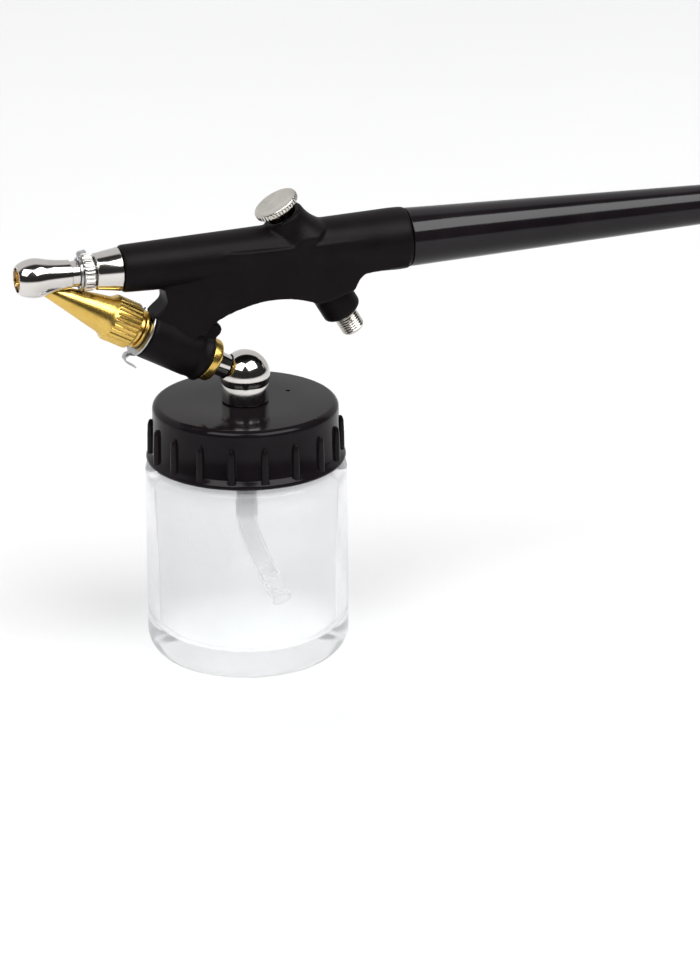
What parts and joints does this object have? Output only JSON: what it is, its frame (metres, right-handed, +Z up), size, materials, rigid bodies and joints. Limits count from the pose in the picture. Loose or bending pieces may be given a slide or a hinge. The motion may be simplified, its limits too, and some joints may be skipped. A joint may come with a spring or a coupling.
{
  "type": "airbrush gun",
  "caption": "Single-action siphon-feed airbrush: black body with a finger arch, chrome air horn, brass paint tip, press button and tapered handle, standing on a screw-capped glass paint jar.",
  "frame": {"origin": "middle of the jar's base, on the surface that the airbrush stands on", "axes": "+Z up along the jar's axis; +X along the barrel from the air horn towards the handle; +Y across the body"},
  "size_m": [0.1694, 0.037, 0.0881],
  "materials": {
    "body_black": "satin black",
    "chrome": "polished",
    "nickel": "satin nickel plate",
    "brass": "turned",
    "spring_steel": "rolled",
    "gloss_black": "glossy black",
    "rubber": "matte",
    "liner": "white foam liner",
    "clear_tube": "translucent",
    "glass": "clear"
  },
  "bodies": {
    "gun": {"body": "body_black", "nose_cone": "chrome", "tab_washer": "spring_steel", "air_horn": "chrome", "air_nozzle": "brass", "rear_bush": "brass", "arm_seal": "rubber", "tip_carrier": "brass", "clip_ring": "spring_steel", "fluid_needle": "spring_steel", "stem_guide": "brass", "stem_o_ring": "rubber", "valve_spring": "spring_steel", "air_fitting": "nickel"},
    "button": {"button": "nickel", "button_stem": "nickel"},
    "valve": {"valve_plunger": "brass", "valve_seal": "rubber"},
    "paint_cone": {"paint_cone": "brass"},
    "lock_ring": {"lock_ring": "chrome"},
    "handle": {"handle": "gloss_black", "handle_spigot": "nickel"},
    "siphon": {"arm_tube": "chrome", "elbow": "chrome", "elbow_base": "chrome", "elbow_nut": "nickel", "jar_cap": "gloss_black", "cap_liner": "liner", "siphon_sleeve": "clear_tube", "siphon_tube": "clear_tube"},
    "jar": {"jar": "glass"}
  },
  "joints": [
    {"name": "button_press", "type": "slide", "parent": "gun", "child": "button", "axis": [0.5, 0, -0.866], "range_m": [0, 0.0011], "stiffness_N_per_m": 1200, "springref_m": -0.002},
    {"name": "valve_travel", "type": "slide", "parent": "gun", "child": "valve", "axis": [0.5, 0, -0.866], "range_m": [0, 0.0011], "deforming": ["valve_spring"]},
    {"name": "cone_turn", "type": "hinge", "parent": "gun", "child": "paint_cone", "pos_m": [0, 0, 0.05385], "axis": [-0.8746, 0, 0.4848], "range_deg": [0, 540]},
    {"name": "lock_ring_turn", "type": "hinge", "parent": "gun", "child": "lock_ring", "pos_m": [-0.0294, 0, 0.0767], "axis": [-1, 0, 0], "range_deg": [0, 180]},
    {"name": "handle_turn", "type": "hinge", "parent": "gun", "child": "handle", "pos_m": [0.0311, 0, 0.0767], "axis": [1, 0, 0], "range_deg": [0, 2880]},
    {"name": "siphon_swivel", "type": "hinge", "parent": "gun", "child": "siphon", "pos_m": [0, 0, 0.05385], "axis": [-0.8746, 0, 0.4848], "range_deg": [-60, 60]},
    {"name": "jar_turn", "type": "hinge", "parent": "siphon", "child": "jar", "pos_m": [0, 0, 0.038], "axis": [0, 0, 1], "range_deg": [-400, 0]}
  ],
  "couplings": [
    {"joint": "valve_travel", "follows": "button_press", "ratio": 1}
  ]
}
